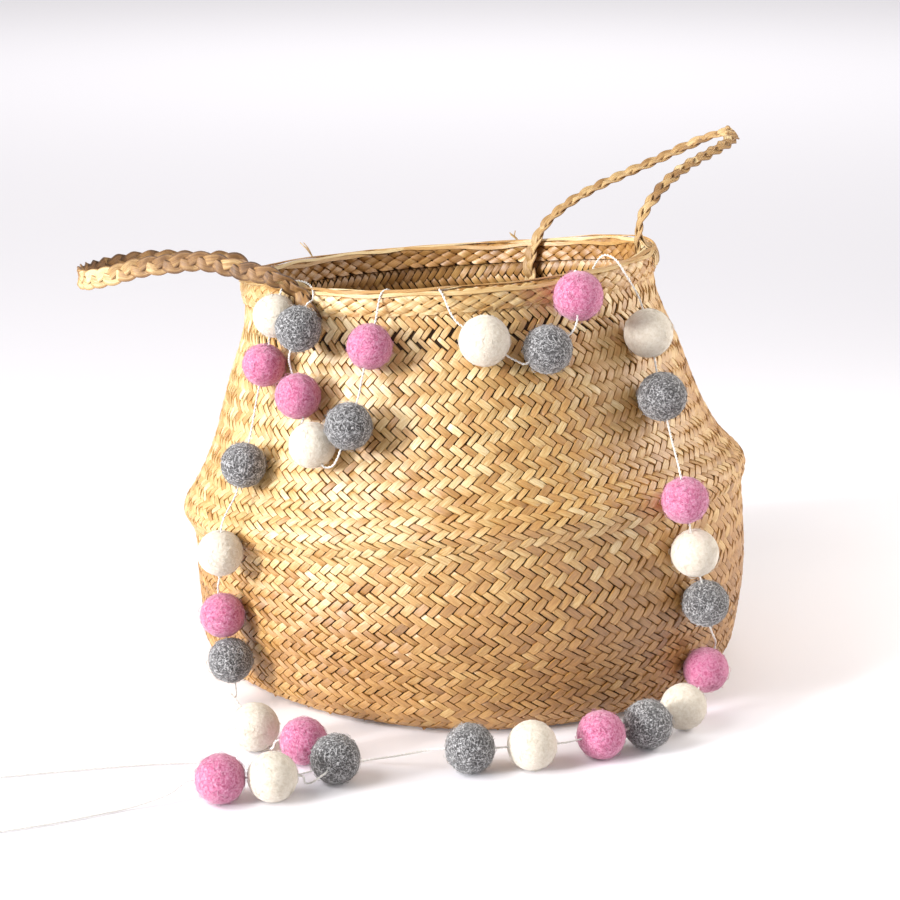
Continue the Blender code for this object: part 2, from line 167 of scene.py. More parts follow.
# Diameters of the felt balls in stringing order: pink, cream, grey, over and over
BALL_DIAMETERS = (
    (23.4, 23.6, 23.6),
    (23.0, 24.0, 22.8),
    (22.8, 23.2, 22.7),
    (21.7, 22.0, 22.6),
    (22.8, 23.0, 23.2),
    (22.5, 25.2, 24.0),
    (24.6, 24.8, 24.6),
    (23.2, 24.0, 23.4),
    (23.0, 23.2, 24.0),
    (23.8, 24.0, 24.0),
)
# Places that the string passes, keyed by how many balls it has passed. "free": x, y, z.
# "wall": bearing in degrees, height on the unslumped wall, and how far outside that wall.
WAYS = {
    0: (
        ("free", -226.0, -263.0, 0.9),
        ("free", -207.0, -257.0, 0.9),
        ("free", -188.0, -249.5, 0.9),
        ("free", -170.0, -240.5, 0.9),
        ("free", -154.0, -232.0, 1.2),
        ("free", -137.0, -226.5, 5.5),
    ),
    2: (("free", -74.0, -213.5, 5.0), ("free", -66.5, -212.5, 9.0)),
    3: (("free", -60.5, -184.0, 11.5), ("free", -66.0, -178.0, 11.5)),
    4: (("free", -93.0, -172.0, 6.5), ("free", -95.0, -164.0, 2.2)),
    11: (
        ("free", -89.5, -65.5, 213.5),
        ("free", -84.0, -66.5, 215.8),
        ("free", -77.5, -75.0, 214.8),
        ("free", -75.5, -87.5, 210.5),
    ),
    14: (("free", -65.5, -125.5, 134.5), ("free", -62.5, -127.0, 139.0)),
    16: (
        ("wall", 253.0, 214.8, 2.0),
        ("wall", 254.0, 216.9, -1.7),
        ("wall", 255.0, 214.2, -6.2),
        ("wall", 260.5, 202.5, -8.0),
        ("wall", 266.5, 214.2, -6.2),
        ("wall", 267.5, 216.9, -1.7),
        ("wall", 268.5, 214.8, 2.1),
    ),
    17: (("free", 24.0, -119.0, 186.5),),
    19: (
        ("wall", 304.5, 219.0, 4.0),
        ("wall", 306.0, 217.4, -1.5),
        ("wall", 307.5, 214.0, -6.5),
        ("wall", 310.5, 205.0, -7.5),
        ("free", 64.5, -58.0, 219.0),
        ("free", 69.5, -63.0, 228.0),
        ("free", 75.0, -68.5, 227.8),
        ("free", 79.5, -73.0, 222.5),
    ),
    30: (
        ("free", -14.0, -185.5, 11.0),
        ("free", -32.0, -180.5, 5.5),
        ("free", -50.5, -176.5, 1.0),
        ("free", -67.0, -184.0, 0.9),
        ("free", -82.0, -193.0, 0.9),
        ("free", -100.0, -187.0, 0.9),
        ("free", -118.0, -180.0, 0.9),
        ("free", -136.0, -178.5, 0.9),
        ("free", -168.0, -183.5, 0.9),
        ("free", -199.0, -190.5, 0.9),
        ("free", -228.0, -197.5, 0.9),
    ),
}

# Points along the middle of each plaited handle: x, y, z
LEFT_PLAIT = (
    (-96.0, -76.5, 219.8),
    (-113.0, -69.0, 222.0),
    (-132.5, -61.0, 225.0),
    (-150.0, -55.0, 222.5),
    (-166.0, -49.0, 219.5),
    (-183.0, -40.0, 213.5),
    (-198.0, -26.0, 208.8),
    (-204.5, 0.0, 207.0),
    (-199.0, 26.0, 205.5),
    (-184.0, 42.0, 206.5),
    (-166.0, 50.0, 206.5),
    (-146.0, 56.0, 204.5),
    (-127.0, 62.0, 202.5),
)
RIGHT_PLAIT = (
    (91.5, -11.5, 222.5),
    (91.5, -11.5, 231.0),
    (94.0, -9.5, 241.0),
    (100.0, -4.0, 249.0),
    (108.0, 5.0, 256.5),
    (119.0, 17.0, 263.0),
    (132.0, 30.0, 268.0),
    (143.5, 44.0, 272.0),
    (149.5, 65.0, 275.0),
    (143.0, 86.0, 271.5),
    (129.0, 96.0, 264.0),
    (111.0, 99.5, 255.0),
    (92.0, 100.0, 246.5),
    (74.0, 99.5, 238.0),
    (58.0, 98.5, 228.0),
    (46.5, 97.5, 216.5),
)
# Where each handle's ends lie against the rim, outside (1) or inside (-1) of it, from the end up:
# bearing in degrees and height on the unslumped wall
LEFT_ROOTS = (
    (1, ((235.0, 201.5), (232.0, 207.5), (229.0, 213.5))),
    (1, ((146.0, 190.0), (149.5, 197.0), (153.0, 203.0))),
)
RIGHT_ROOTS = (
    (-1, ((351.5, 193.0), (351.5, 201.0), (351.5, 209.0))),
    (-1, ((63.0, 184.0), (63.0, 194.0), (62.5, 205.0))),
)
PLAIT_THICKNESS = 6.2 * MM
PLAIT_TURN = 0.16
# The plait's three strands: how far each swings across it and through it, its size, and the
# length over which it comes back to the same edge
STRAND_SWING = 2.6 * MM
STRAND_DEPTH = 0.9 * MM
STRAND_WIDTH = 5.8 * MM
STRAND_THICKNESS = 1.1 * MM
STRAND_SIDES = 16
# How straight a strand runs from edge to edge, under 1
STRAND_STRAIGHT = 0.93
PLAIT_PERIOD = 29.0 * MM
# How far to each side of its tip a handle that narrows there is thinner
TIP_REACH = 12.0 * MM
# Where a handle is painted palest, as painted light where the key falls on it, and how far that reaches, in
# shares of its length
KEY_LIT_MIDDLE = 0.4
KEY_LIT_WIDTH = 0.1

# Light: an even surrounding, a low key from the left, and three wide soft lights, each with its
# place, the place that it shines at, its size, its power and its colour
WORLD_STRENGTH = 0.44
MIDDLE = (0.0, 0.0, 0.107)
KEY_FROM = (-0.82, -0.47, 0.33)
KEY_STRENGTH = 3.9
KEY_ANGLE = 12.0
SOFT_LIGHTS = (
    ("upper_left", (-1.0, -0.6, 0.95), MIDDLE, 0.9, 15.0, (1.0, 1.0, 1.0)),
    ("right_fill", (0.6, 0.04, 0.36), MIDDLE, 0.45, 3.0, (1.0, 0.95, 0.88)),
    ("far_floor", (0.0, 3.4, 2.4), (0.0, 3.4, 0.0), 2.0, 26.0, (1.0, 1.0, 1.0)),
)
# How much the white floor glows, like a lit backdrop
FLOOR_GLOW = 0.07


def smooth(t):
    """0 to 1 as t goes from 0 to 1, level at both ends."""
    t = np.clip(t, 0.0, 1.0)
    return t * t * (3 - 2 * t)


def hermite(a, b, slope_a, slope_b, t):
    """A cubic from a to b, with these slopes over the whole stretch."""
    t2 = t * t
    t3 = t2 * t
    return (
        a * (2 * t3 - 3 * t2 + 1)
        + slope_a * (t3 - 2 * t2 + t)
        + b * (3 * t2 - 2 * t3)
        + slope_b * (t3 - t2)
    )


def wall_table():
    """Heights and radii of the upright wall, close together, along WALL without overshoot."""
    rows = np.array(WALL) * MM
    step = np.diff(rows, axis=0)
    rise = step[:, 1] / step[:, 0]
    slopes = np.zeros(len(rows))
    same = rise[:-1] * rise[1:] > 0
    slopes[1:-1][same] = 2 * (rise[:-1] * rise[1:])[same] / (rise[:-1] + rise[1:])[same]
    slopes[0], slopes[-1] = rise[0], rise[-1]
    heights, radii = [], []
    for i, (span, _) in enumerate(step):
        t = np.linspace(0, 1, 24, endpoint=i == len(step) - 1)
        heights.append(rows[i, 0] + span * t)
        radii.append(hermite(rows[i, 1], rows[i + 1, 1], slopes[i] * span, slopes[i + 1] * span, t))
    return np.concatenate(heights), np.concatenate(radii)


HEIGHTS, RADII = wall_table()


def wall_radius(height):
    return np.interp(height, HEIGHTS, RADII)


def wall_thickness(height):
    """The wall's thickness, which grows into the rim band."""
    share = smooth((height - 198.5 * MM) / (4 * MM))
    return WALL_THICKNESS + (RIM_THICKNESS - WALL_THICKNESS) * share


def slump(points):
    """Where points of the upright basket go as its upper half tips, leans and sags."""
    x, y, z = np.moveaxis(np.asarray(points, float), -1, 0)
    span = TIP_FULL - TIP_STARTS
    t = np.clip((z - TIP_STARTS) / span, 0.0, 1.0)
    tip = smooth(t)
    lean = LEAN * (span * (t**3 - t**4 / 2) + np.maximum(z - TIP_FULL, 0.0))
    bulge = BULGE * np.sin(np.pi * np.clip(z / BULGE_TOP, 0.0, 1.0))
    toward_rim = np.maximum((z - SAG_STARTS) / (RIM_HEIGHT - SAG_STARTS), 0.0) ** 1.5
    side = y / np.maximum(np.hypot(x, y), MM)
    away = (np.degrees(np.arctan2(y, x)) - FRONT_DIP_BEARING + 180) % 360 - 180
    dip = FRONT_DIP * np.exp(-((away / FRONT_DIP_WIDTH) ** 2))
    sag = toward_rim * (RIM_SAG * side * side + RIM_DIP * side + dip)
    moved = (
        x - TIP_LEFT * lean + bulge,
        y + TIP_BACK * lean,
        z + tip * (TIP_LEFT * x - TIP_BACK * y) - sag,
    )
    return np.stack(moved, axis=-1)


def soften(points, bearing, height):
    """The woven wall's own give: its base edge is drawn in at one side, and its rim lifts at another."""
    bearing = np.degrees(bearing)
    low_side = np.exp(-((((bearing - DRAWN_IN_BEARING + 180) % 360 - 180) / DRAWN_IN_WIDTH) ** 2))
    high_side = np.exp(-((((bearing - LIFT_BEARING + 180) % 360 - 180) / LIFT_WIDTH) ** 2))
    reach = np.hypot(points[..., 0], points[..., 1])
    inward = DRAWN_IN * low_side * (1 - smooth(height / DRAWN_IN_TO))
    inward = inward * smooth((reach - 90 * MM) / (40 * MM))
    moved = points.copy()
    moved[..., :2] *= (1 - inward / np.maximum(reach, MM))[..., None]
    moved[..., 2] += LIFT * high_side * smooth((height - LIFT_FROM) / (RIM_HEIGHT - LIFT_FROM))
    return moved


def around(bearing, radius, height):
    """Points of the upright basket, from bearings in radians, radii and heights."""
    bearing, radius, height = np.broadcast_arrays(bearing, radius, height)
    return np.stack((radius * np.cos(bearing), radius * np.sin(bearing), height), axis=-1)


class Lattice:
    """Rows of straws that cross on a surface turned round the basket's upright axis.

    A place on it is u, in straws around, and v, in rows along its profile, with a distance off it.
    """

    def __init__(self, radius, height, straws, row_of, shift_of):
        self.radius, self.profile, self.straws = radius, height, straws
        step = np.hypot(np.diff(radius), np.diff(height))
        along = np.concatenate(((0.0,), np.cumsum(step)))
        row = row_of(2 * np.pi * radius / straws)
        self.rows = np.concatenate(((0.0,), np.cumsum(step / ((row[1:] + row[:-1]) / 2))))
        shift = shift_of(height)
        self.shift = np.concatenate(((0.0,), np.cumsum(np.diff(self.rows) * shift[1:])))
        around_way = self.softened(np.gradient(radius, along))
        up_way = self.softened(np.gradient(height, along))
        size = np.hypot(around_way, up_way)
        self.out, self.rise = up_way / size, -around_way / size

    @staticmethod
    def softened(values):
        return np.convolve(np.pad(values, 7, mode="edge"), np.ones(15) / 15, mode="valid")

    def place(self, u, v, off):
        """The points at these places, each off metres outside the surface."""
        radius = np.interp(v, self.rows, self.radius) + off * np.interp(v, self.rows, self.out)
        height = np.interp(v, self.rows, self.profile) + off * np.interp(v, self.rows, self.rise)
        bearing = 2 * np.pi * (u + np.interp(v, self.rows, self.shift)) / self.straws
        points = soften(slump(around(bearing, radius, height)), bearing, height)
        points[..., 2] = np.maximum(points[..., 2], 0.05 * MM)
        return points


def wall_lattice():
    """The outer wall from under the base's edge up to the rim band."""
    under = np.linspace(UNDERSIDE_FROM, RADII[0], 30, endpoint=False)
    upright = HEIGHTS <= BAND_HEIGHT
    radius = np.concatenate((under, RADII[upright]))
    height = np.concatenate((0 * under, HEIGHTS[upright]))
    height = height + UNDERSIDE_LIFT * np.exp(-height / (3 * MM))

    def row_of(pitch):
        return np.sqrt(FLOAT_LENGTH**2 - pitch**2)

    def shift_of(h):
        return np.interp(h, (TIP_STARTS, TIP_FULL), (BELLY_SHIFT, NECK_SHIFT))

    return Lattice(radius, height, STRAWS, row_of, shift_of)


def rim_lattice():
    """The rim band from its lower edge outside, over the rounded top and down inside."""
    outer = np.linspace(RIM_BAND_FROM, RIM_HEIGHT - 1.5 * MM, 40)
    inner = outer[::-1]
    top = np.linspace(0, np.pi, 24)[1:-1]
    middle = wall_radius(outer[-1]) - RIM_THICKNESS / 2
    radius = np.concatenate(
        (
            wall_radius(outer),
            middle + RIM_THICKNESS / 2 * np.cos(top),
            wall_radius(inner) - wall_thickness(inner),
        )
    )
    height = np.concatenate((outer, outer[-1] + 2.0 * MM * np.sin(top), inner))
    return Lattice(radius, height, RIM_STRAWS, lambda pitch: RIM_ROW + 0 * pitch, lambda h: 0.12 + 0 * h)


def mesh_of(name, points, quads, **numbers):
    """A mesh of four-sided faces, with each of numbers kept as an attribute of its points."""
    mesh = bpy.data.meshes.new(name)
    mesh.vertices.add(len(points))
    mesh.vertices.foreach_set("co", np.asarray(points, np.float32).ravel())
    mesh.loops.add(quads.size)
    mesh.loops.foreach_set("vertex_index", np.asarray(quads, np.int32).ravel())
    mesh.polygons.add(len(quads))
    mesh.polygons.foreach_set("loop_start", np.arange(0, quads.size, 4, dtype=np.int32))
    for key, values in numbers.items():
        made = mesh.attributes.new(key, "FLOAT", "POINT")
        made.data.foreach_set("value", np.asarray(values, np.float32).ravel())
    mesh.update(calc_edges=True)
    mesh.shade_smooth()
    return mesh


def patches(name, points, closed=False, **numbers):
    """A mesh of many equal grids. points is counted by grid, row, column and axis.

    closed joins each row's last point to its first.
    """
    count, rows, columns, _ = points.shape
    index = np.arange(count * rows * columns).reshape(count, rows, columns)
    after = np.roll(index, -1, axis=2) if closed else index[:, :, 1:]
    here = index if closed else index[:, :, :-1]
    corners = (here[:, :-1], after[:, :-1], after[:, 1:], here[:, 1:])
    quads = np.stack(corners, axis=-1).reshape(-1, 4)
    spread = {key: np.broadcast_to(value, index.shape) for key, value in numbers.items()}
    return mesh_of(name, points.reshape(-1, 3), quads, **spread)


def add_piece(name, mesh, material):
    """An object of this mesh that belongs to the part."""
    piece = bpy.data.objects.new(name, mesh)
    bpy.context.scene.collection.objects.link(piece)
    mesh.materials.append(material)
    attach(piece, "root")
    return piece


# Materials


def new_material(name):
    made = bpy.data.materials.new(name)
    made.use_nodes = True
    return made, made.node_tree.nodes, made.node_tree.links, made.node_tree.nodes["Principled BSDF"]


def value_ramp(nodes, stops):
    """A colour ramp through these (place, colour) stops."""
    ramp = nodes.new("ShaderNodeValToRGB")
    elements = ramp.color_ramp.elements
    while len(elements) < len(stops):
        elements.new(0.5)
    for element, (place, colour) in zip(elements, stops):
        element.position = place
        element.color = (*colour, 1.0)
    return ramp


def straw_material(name, stops, streak=0.4, shine=1.0):
    """Flat dried straw: its own tone a straw, fine streaks along it, and a soft dry shine."""
    made, nodes, links, shader = new_material(name)
    tone = nodes.new("ShaderNodeAttribute")
    tone.attribute_name = "tone"
    across = nodes.new("ShaderNodeAttribute")
    across.attribute_name = "across"
    along = nodes.new("ShaderNodeAttribute")
    along.attribute_name = "along"
    place = nodes.new("ShaderNodeCombineXYZ")
    links.new(across.outputs["Fac"], place.inputs["X"])
    links.new(along.outputs["Fac"], place.inputs["Y"])
    links.new(tone.outputs["Fac"], place.inputs["Z"])
    stretch = nodes.new("ShaderNodeMapping")
    stretch.inputs["Scale"].default_value = (3.2, 0.3, 37.0)
    links.new(place.outputs["Vector"], stretch.inputs["Vector"])
    fibres = nodes.new("ShaderNodeTexNoise")
    fibres.inputs["Scale"].default_value = 1.0
    fibres.inputs["Detail"].default_value = 3.0
    fibres.inputs["Roughness"].default_value = 0.65
    links.new(stretch.outputs["Vector"], fibres.inputs["Vector"])
    mixed = nodes.new("ShaderNodeMath")
    mixed.operation = "MULTIPLY_ADD"
    mixed.inputs[1].default_value = streak * 2
    links.new(fibres.outputs["Fac"], mixed.inputs[0])
    links.new(tone.outputs["Fac"], mixed.inputs[2])
    centred = nodes.new("ShaderNodeMath")
    centred.operation = "SUBTRACT"
    centred.inputs[1].default_value = streak
    links.new(mixed.outputs["Value"], centred.inputs[0])
    ramp = value_ramp(nodes, stops)
    links.new(centred.outputs["Value"], ramp.inputs["Fac"])
    links.new(ramp.outputs["Color"], shader.inputs["Base Color"])
    bump = nodes.new("ShaderNodeBump")
    bump.inputs["Strength"].default_value = 0.8
    bump.inputs["Distance"].default_value = 0.3 * MM
    links.new(fibres.outputs["Fac"], bump.inputs["Height"])
    links.new(bump.outputs["Normal"], shader.inputs["Normal"])
    shader.inputs["Roughness"].default_value = 0.5
    shader.inputs["IOR"].default_value = 1.6
    shader.inputs["Specular IOR Level"].default_value = shine
    return made


def plain_straw_shadow(name):
    """Painted shadow: a near-black colour that shows in the gaps between the floats."""
    made, nodes, links, shader = new_material(name)
    place = nodes.new("ShaderNodeTexCoord")
    noise = nodes.new("ShaderNodeTexNoise")
    noise.inputs["Scale"].default_value = 180.0
    links.new(place.outputs["Object"], noise.inputs["Vector"])
    ramp = value_ramp(nodes, ((0.3, (0.02, 0.009, 0.003)), (0.7, (0.06, 0.028, 0.01))))
    links.new(noise.outputs["Fac"], ramp.inputs["Fac"])
    links.new(ramp.outputs["Color"], shader.inputs["Base Color"])
    shader.inputs["Roughness"].default_value = 0.8
    return made


def felt_material(name, stops, scale, tangled):
    """Needle-felted wool: tangled fibres of several tones with a soft halo."""
    made, nodes, links, shader = new_material(name)
    place = nodes.new("ShaderNodeTexCoord")
    tangle = nodes.new("ShaderNodeTexNoise")
    tangle.inputs["Scale"].default_value = scale
    tangle.inputs["Detail"].default_value = 3.0
    tangle.inputs["Roughness"].default_value = 0.6
    tangle.inputs["Distortion"].default_value = tangled
    links.new(place.outputs["Object"], tangle.inputs["Vector"])
    tone = nodes.new("ShaderNodeAttribute")
    tone.attribute_name = "tone"
    mixed = nodes.new("ShaderNodeMath")
    mixed.operation = "ADD"
    links.new(tangle.outputs["Fac"], mixed.inputs[0])
    links.new(tone.outputs["Fac"], mixed.inputs[1])
    ramp = value_ramp(nodes, stops)
    links.new(mixed.outputs["Value"], ramp.inputs["Fac"])
    links.new(ramp.outputs["Color"], shader.inputs["Base Color"])
    bump = nodes.new("ShaderNodeBump")
    bump.inputs["Strength"].default_value = 0.8
    bump.inputs["Distance"].default_value = 0.3 * MM
    links.new(tangle.outputs["Fac"], bump.inputs["Height"])
    links.new(bump.outputs["Normal"], shader.inputs["Normal"])
    shader.inputs["Roughness"].default_value = 0.95
    shader.inputs["Sheen Weight"].default_value = 0.35
    shader.inputs["Sheen Roughness"].default_value = 0.6
    shader.inputs["Specular IOR Level"].default_value = 0.1
    return made


STRAW = straw_material(
    "woven_straw",
    (
        (0.0, (0.21, 0.09, 0.02)),
        (0.35, (0.41, 0.195, 0.042)),
        (0.5, (0.5, 0.265, 0.066)),
        (0.65, (0.61, 0.4, 0.15)),
        (1.0, (0.84, 0.71, 0.44)),
    ),
)
PLAITED = straw_material(
    "plaited_straw",
    (
        (0.0, (0.07, 0.028, 0.008)),
        (0.4, (0.27, 0.135, 0.042)),
        (0.6, (0.42, 0.245, 0.085)),
        (1.0, (0.8, 0.64, 0.35)),
    ),
    0.55,
    0.5,
)
SHADOW = plain_straw_shadow("painted_gap_shadow")


# The woven wall


def float_places(rows, straws):
    """Middles of all floats in these rows, as p and q on the two diagonals, and which way they run.

    p is u - v and q is u + v. A rising float lies along q, and a falling one along p.
    """
    u, v = np.meshgrid(np.arange(straws), np.arange(*rows), indexing="ij")
    falling = v % 2 == 1
    u = u + 0.5 * falling
    return (u - v).ravel(), (u + v).ravel(), falling.ravel()


def float_grid(places, across, along, edges, straws, width, slit, taper):
    """u and v of each float's grid of points, and how far each point is across and along it.

    edges shifts the lines between neighbouring straws, so that some are wider than others. slit
    draws back a float's upper edge where it is over 0, and its lower edge where it is under 0.
    """
    p, q, falling = places
    index = np.where(falling, q + 0.5, p).astype(int)
    low = edges[falling.astype(int), index % straws] + np.maximum(-slit, 0)
    high = edges[falling.astype(int), (index + 1) % straws] - np.maximum(slit, 0)
    a = across[None, None, :]
    b = along[None, :, None]
    reach = 0.5 * a * width[:, None, None] * (1 - taper * b**4)
    sideways = reach + low[:, None, None] * (1 - a) / 2 + high[:, None, None] * (1 + a) / 2
    fall = falling[:, None, None]
    here_p = p[:, None, None] + np.where(fall, b, sideways)
    here_q = q[:, None, None] + np.where(fall, sideways, b)
    return (here_q + here_p) / 2, (here_q - here_p) / 2, a, b


def floats(name, places, grid, place, rng, straws=STRAWS, uneven=0.1, slits=0.0, taper=0.12, shade=0.0):
    """The floats at these places as one mesh, laid on a surface by place(u, v, off).

    shade, painted light and shade, is added to the tone of all of them, or of each.
    """
    across, along, height_of = grid
    edges = rng.uniform(-uneven, uneven, (2, straws))
    straw_tones = rng.normal(0.5, 0.08, (2, straws))
    p, q, falling = places
    count = len(p)
    width = 1.0 - 0.16 * rng.uniform(0, 1, count) ** 2
    slit = np.broadcast_to(slits, count)
    u, v, a, b = float_grid(places, across, along, edges, straws, width, slit, taper)
    index = np.where(falling, q + 0.5, p).astype(int) % straws
    tone = straw_tones[falling.astype(int), index] + rng.normal(0, 0.05, count) + shade
    lift = rng.uniform(-0.15, 0.1, count)[:, None, None] * MM
    twist = rng.uniform(-0.34, 0.34, count)[:, None, None] * MM
    tip = rng.uniform(-0.3, 0.3, count)[:, None, None] * MM
    points = place(u, v, height_of(a, b) + lift + twist * a + tip * b)
    seeds = rng.uniform(0, 40, count)[:, None, None]
    mesh = patches(
        name,
        points,
        tone=np.clip(tone, 0.02, 0.98)[:, None, None],
        across=a + seeds,
        along=b * 2 + seeds,
    )
    mesh.set_sharp_from_angle(angle=math.radians(50))
    return add_piece(name, mesh, STRAW)


def float_height(a, b):
    """How far a float stands off the wall: flat on top, steep at its sides, diving at its ends."""
    ends = 0.5 * np.clip(np.abs(b), 0, 1) ** 2 + np.where(np.abs(b) > 1, 0.8, 0.0)
    sides = np.where(np.abs(a) > 0.92, 1.2, 0.14 * a * a)
    return (0.55 - sides - ends) * MM


def band_height(a, b):
    """The same for the rim band's floats, which bulge more and are half as long."""
    ends = 2.2 * b * b + np.where(np.abs(b) > 0.62, 0.7, 0.0)
    sides = np.where(np.abs(a) > 0.88, 1.4, 0.35 * a * a)
    return (1.1 - sides - ends) * MM


FLOAT_GRID = (
    np.array((-0.965, -0.9, 0.0, 0.9, 0.965)),
    np.array((-1.07, -0.96, -0.45, 0.45, 0.96, 1.07)),
    float_height,
)
COARSE_GRID = np.array((-0.96, 0.0, 0.96)), np.array((-1.1, -0.6, 0.6, 1.1)), float_height
BAND_GRID = (
    np.array((-0.95, -0.87, 0.0, 0.87, 0.95)),
    np.array((-0.66, -0.6, -0.3, 0.0, 0.3, 0.6, 0.66)),
    band_height,
)


def make_wall():
    wall = wall_lattice()
    rng = np.random.default_rng(11)
    top = int(wall.rows[-1]) + 1
    middle = top // 2
    lower = float_places((1, middle), STRAWS)
    # Painted light and shade on the outside floats of the belly, by height and side
    belly = floats("weave_belly", lower, FLOAT_GRID, wall.place, rng, shade=painted_light_tone(lower, wall))
    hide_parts("basket")
    rng = np.random.default_rng(11)
    neck = float_places((middle, top), STRAWS)
    # Painted light and shade on the outside floats of the neck, by height and side
    slits, shade = slits_below_band(neck, wall), painted_light_tone(neck, wall)
    floats("weave_neck", neck, FLOAT_GRID, wall.place, rng, slits=slits, shade=shade)

    def inward(a, b):
        return -WALL_THICKNESS - float_height(0.9 * a, b)

    inner = float_places((6, top), STRAWS)
    # Painted shade on the floats inside the wall
    floats("weave_inside", inner, (*COARSE_GRID[:2], inward), wall.place, rng, shade=INSIDE_PAINTED_SHADE)
    make_gap_shade(wall)


def painted_light_tone(places, lattice):
    """Painted light and shade on each float outside: paler nearer the rim and the key-lit side, darker low
    down.
    """
    p, q, _ = places
    row = (q - p) / 2
    height = np.interp(row, lattice.rows, lattice.profile)
    bearing = 360 * ((p + q) / 2 + np.interp(row, lattice.rows, lattice.shift)) / lattice.straws
    lit_side = LIT_SIDE_PALENESS * np.cos(np.radians(bearing - LIT_SIDE_BEARING))
    return np.interp(height, PAINTED_LIGHT_HEIGHTS, PAINTED_LIGHT_CHANGES) + lit_side


def slits_below_band(places, wall):
    """How far each float's edge draws back, which leaves slits between every second pair of straws."""
    p, q, falling = places
    row = (q - p) / 2
    level = 2 * round(float(np.interp(SLIT_HEIGHT, wall.profile, wall.rows)) / 2)
    straw = np.where(falling, q + 0.5, p).astype(int)
    side = np.where(straw % 2 == 0, 1, -1)
    return np.where((row == level) | (row == level - 1), SLIT_WIDTH * side, 0.0)


def make_gap_shade(wall):
    """A dark sheet inside the wall: painted shade that shows only in its gaps."""
    u = np.linspace(0, STRAWS, 97)[:-1]
    v = np.linspace(0, wall.rows[-1], 70)
    outer = wall.place(u[None, :], v[:, None], -1.2 * MM)
    inner = wall.place(u[None, :], v[:, None], -1.8 * MM)
    points = np.concatenate((outer, inner[::-1]))
    mesh = patches("weave_gap_shade", points[None], closed=True)
    add_piece("weave_gap_shade", mesh, SHADOW)


def make_rim():
    """The rim band: wide straws, over one and under one, that fold over the top and go down inside."""
    rim = rim_lattice()
    rng = np.random.default_rng(21)
    u, twice = np.meshgrid(np.arange(RIM_STRAWS), np.arange(int(2 * rim.rows[-1]) + 1), indexing="ij")
    falling = twice % 2 == 1
    u = u + 0.5 * falling
    places = (u - twice / 2).ravel(), (u + twice / 2).ravel(), falling.ravel()
    # Painted light on the band outside, painted shade on it inside
    shade = np.where(twice.ravel() < rim.rows[-1], painted_light_tone(places, rim), INSIDE_PAINTED_SHADE)
    floats("weave_rim", places, BAND_GRID, rim.place, rng, RIM_STRAWS, 0.08, taper=0.9, shade=shade)
    # A dark sheet inside the band: painted shade that shows in its gaps
    u = np.linspace(0, RIM_STRAWS, 97)[:-1]
    v = np.linspace(0, rim.rows[-1], 30)
    shade_outer = rim.place(u[None, :], v[:, None], -1.1 * MM)
    shade_inner = rim.place(u[None, :], v[:, None], -1.7 * MM)
    mesh = patches("rim_gap_shade", np.concatenate((shade_outer, shade_inner[::-1]))[None], closed=True)
    add_piece("rim_gap_shade", mesh, SHADOW)
    make_edge_straws(rim, rng)
    make_rim_ends(rim, rng)


def make_rim_ends(rim, rng):
    """Straws that fan out from the handles' front ends over the rim, and a few dry ends."""
    top = np.interp(0.5, np.linspace(0, 1, len(rim.rows)), rim.rows)
    fans, wisps = [], []
    for start, bearing, spread, below in RIM_FANS:
        for turn in np.linspace(-spread, spread, 5):
            start_at = np.array(start) * MM + rng.normal(0, 0.8 * MM, 3)
            rows = top - np.array((0.0, 0.35, 0.7, 1.0)) * below
            u = (bearing + turn * np.array((0.5, 0.8, 1.0, 1.15))) / 360 * RIM_STRAWS
            way = rim.place(u - np.interp(rows, rim.rows, rim.shift), rows, FAN_LIFT)
            fans.append(bent_straw((start_at, *way), (bearing, FAN_WIDTH)))
    add_ribbons("rim_fans", np.stack(fans), rng, PLAITED)
    for bearing, way in RIM_WISPS:
        start_at = rim.place(np.array(bearing / 360 * RIM_STRAWS), np.array(top), 1.5 * MM)
        for _ in range(3):
            bend = rng.normal(0, 1.2 * MM, (2, 3))
            reach = np.array(way) * MM
            steps = (start_at, start_at + reach / 2 + bend[0], start_at + reach + bend[1])
            wisps.append(bent_straw(steps, (bearing, 0.5 * MM)))
    add_ribbons("rim_wisps", np.stack(wisps), rng, PLAITED)


def bent_straw(steps, facing):
    """A flat straw along a smooth way through these places, which faces out at this bearing."""
    bearing, width = facing
    route = smooth_route([Vector(step) for step in steps], None, None, by_fine_steps)
    path = even_steps(route, 1.0 * MM)
    along = np.linspace(0, 1, len(path))
    even = np.stack([np.interp(np.linspace(0, 1, 24), along, path[:, k]) for k in range(3)], axis=1)
    out = np.array((math.cos(math.radians(bearing)), math.sin(math.radians(bearing)), 0.6))
    return ribbon(even, np.broadcast_to(out, even.shape), width, 0.45 * MM)


def make_edge_straws(rim, rng):
    """Thin straws that run round along the top of the rim and wander a little."""
    turn = np.linspace(0, 2 * np.pi, 361)
    top = np.interp(0.5, np.linspace(0, 1, len(rim.rows)), rim.rows)
    rings = []
    for start, off in EDGE_STRAWS:
        v = top + start
        for waves in (3, 7, 16):
            v = v + 0.25 / math.sqrt(waves) * np.sin(waves * turn + rng.uniform(0, 2 * np.pi))
        off = (off + 0.25 * np.sin(11 * turn + rng.uniform(0, 2 * np.pi))) * MM
        u = turn / (2 * np.pi) * RIM_STRAWS
        path = rim.place(u, v, off)
        rings.append(ribbon(path, rim.place(u, v, off + MM) - path, EDGE_STRAW_WIDTH, 0.5 * MM))
    add_ribbons("rim_edge", np.stack(rings), rng)


def ribbon(path, faces, width, thickness):
    """The rings of a flat straw along a path, whose flat side looks the way of faces."""
    tangents = unit(np.gradient(path, axis=0))
    side = unit(np.cross(tangents, faces))
    face = np.cross(side, tangents)
    corners = ((1, 1), (-1, 1), (-1, -1), (1, -1))
    return np.stack([path + side * width / 2 * s + face * thickness / 2 * f for s, f in corners], axis=1)


